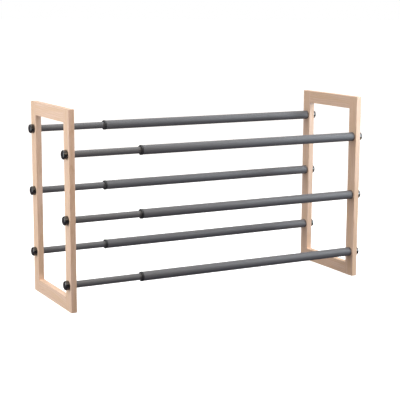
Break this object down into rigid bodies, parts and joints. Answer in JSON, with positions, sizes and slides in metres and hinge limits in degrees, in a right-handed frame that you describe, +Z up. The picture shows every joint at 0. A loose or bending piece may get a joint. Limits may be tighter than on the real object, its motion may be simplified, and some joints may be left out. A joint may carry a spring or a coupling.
{
  "type": "extending shoe rack",
  "caption": "Free-standing tiered shoe rack: wooden end frames joined by sloping pairs of telescopic steel rods, which draw out to set the width.",
  "frame": {"origin": "middle of the rack's footprint at its stored width, on the floor", "axes": "+X along the rods from the inner-tube end to the outer-tube end, +Y from the front (low rods) to the back (high rods), +Z up"},
  "size_m": [0.8056, 0.242, 0.46],
  "materials": {
    "frame_wood": "pale natural wood under a satin clear lacquer",
    "dowel_wood": "raw turned hardwood",
    "tube_paint": "satin grey powder coat on thin steel tube",
    "collar_plastic": "moulded black plastic, fine texture",
    "bush_plastic": "moulded black nylon",
    "cap_plastic": "polished black plastic",
    "zinc_steel": "bright zinc plate"
  },
  "bodies": {
    "left_side": {"left_front_stile": "frame_wood", "left_back_stile": "frame_wood", "left_top_rail": "frame_wood", "left_bottom_rail": "frame_wood", "left_dowels": "dowel_wood", "left_screws": "zinc_steel", "left_washers": "zinc_steel", "left_tube_plugs": "bush_plastic", "bottom_front_inner_tube": "tube_paint", "bottom_front_tail_bush": "bush_plastic", "bottom_front_left_cap": "cap_plastic", "bottom_back_inner_tube": "tube_paint", "bottom_back_tail_bush": "bush_plastic", "bottom_back_left_cap": "cap_plastic", "middle_front_inner_tube": "tube_paint", "middle_front_tail_bush": "bush_plastic", "middle_front_left_cap": "cap_plastic", "middle_back_inner_tube": "tube_paint", "middle_back_tail_bush": "bush_plastic", "middle_back_left_cap": "cap_plastic", "top_front_inner_tube": "tube_paint", "top_front_tail_bush": "bush_plastic", "top_front_left_cap": "cap_plastic", "top_back_inner_tube": "tube_paint", "top_back_tail_bush": "bush_plastic", "top_back_left_cap": "cap_plastic"},
    "right_side": {"right_front_stile": "frame_wood", "right_back_stile": "frame_wood", "right_top_rail": "frame_wood", "right_bottom_rail": "frame_wood", "right_dowels": "dowel_wood", "right_screws": "zinc_steel", "right_washers": "zinc_steel", "right_tube_plugs": "bush_plastic", "bottom_front_outer_tube": "tube_paint", "bottom_front_collar": "collar_plastic", "bottom_front_right_cap": "cap_plastic", "bottom_back_outer_tube": "tube_paint", "bottom_back_collar": "collar_plastic", "bottom_back_right_cap": "cap_plastic", "middle_front_outer_tube": "tube_paint", "middle_front_collar": "collar_plastic", "middle_front_right_cap": "cap_plastic", "middle_back_outer_tube": "tube_paint", "middle_back_collar": "collar_plastic", "middle_back_right_cap": "cap_plastic", "top_front_outer_tube": "tube_paint", "top_front_collar": "collar_plastic", "top_front_right_cap": "cap_plastic", "top_back_outer_tube": "tube_paint", "top_back_collar": "collar_plastic", "top_back_right_cap": "cap_plastic"}
  },
  "joints": [
    {"name": "width_slide", "type": "slide", "parent": "left_side", "child": "right_side", "axis": [1, 0, 0], "range_m": [-0.1645, 0.3615]}
  ]
}
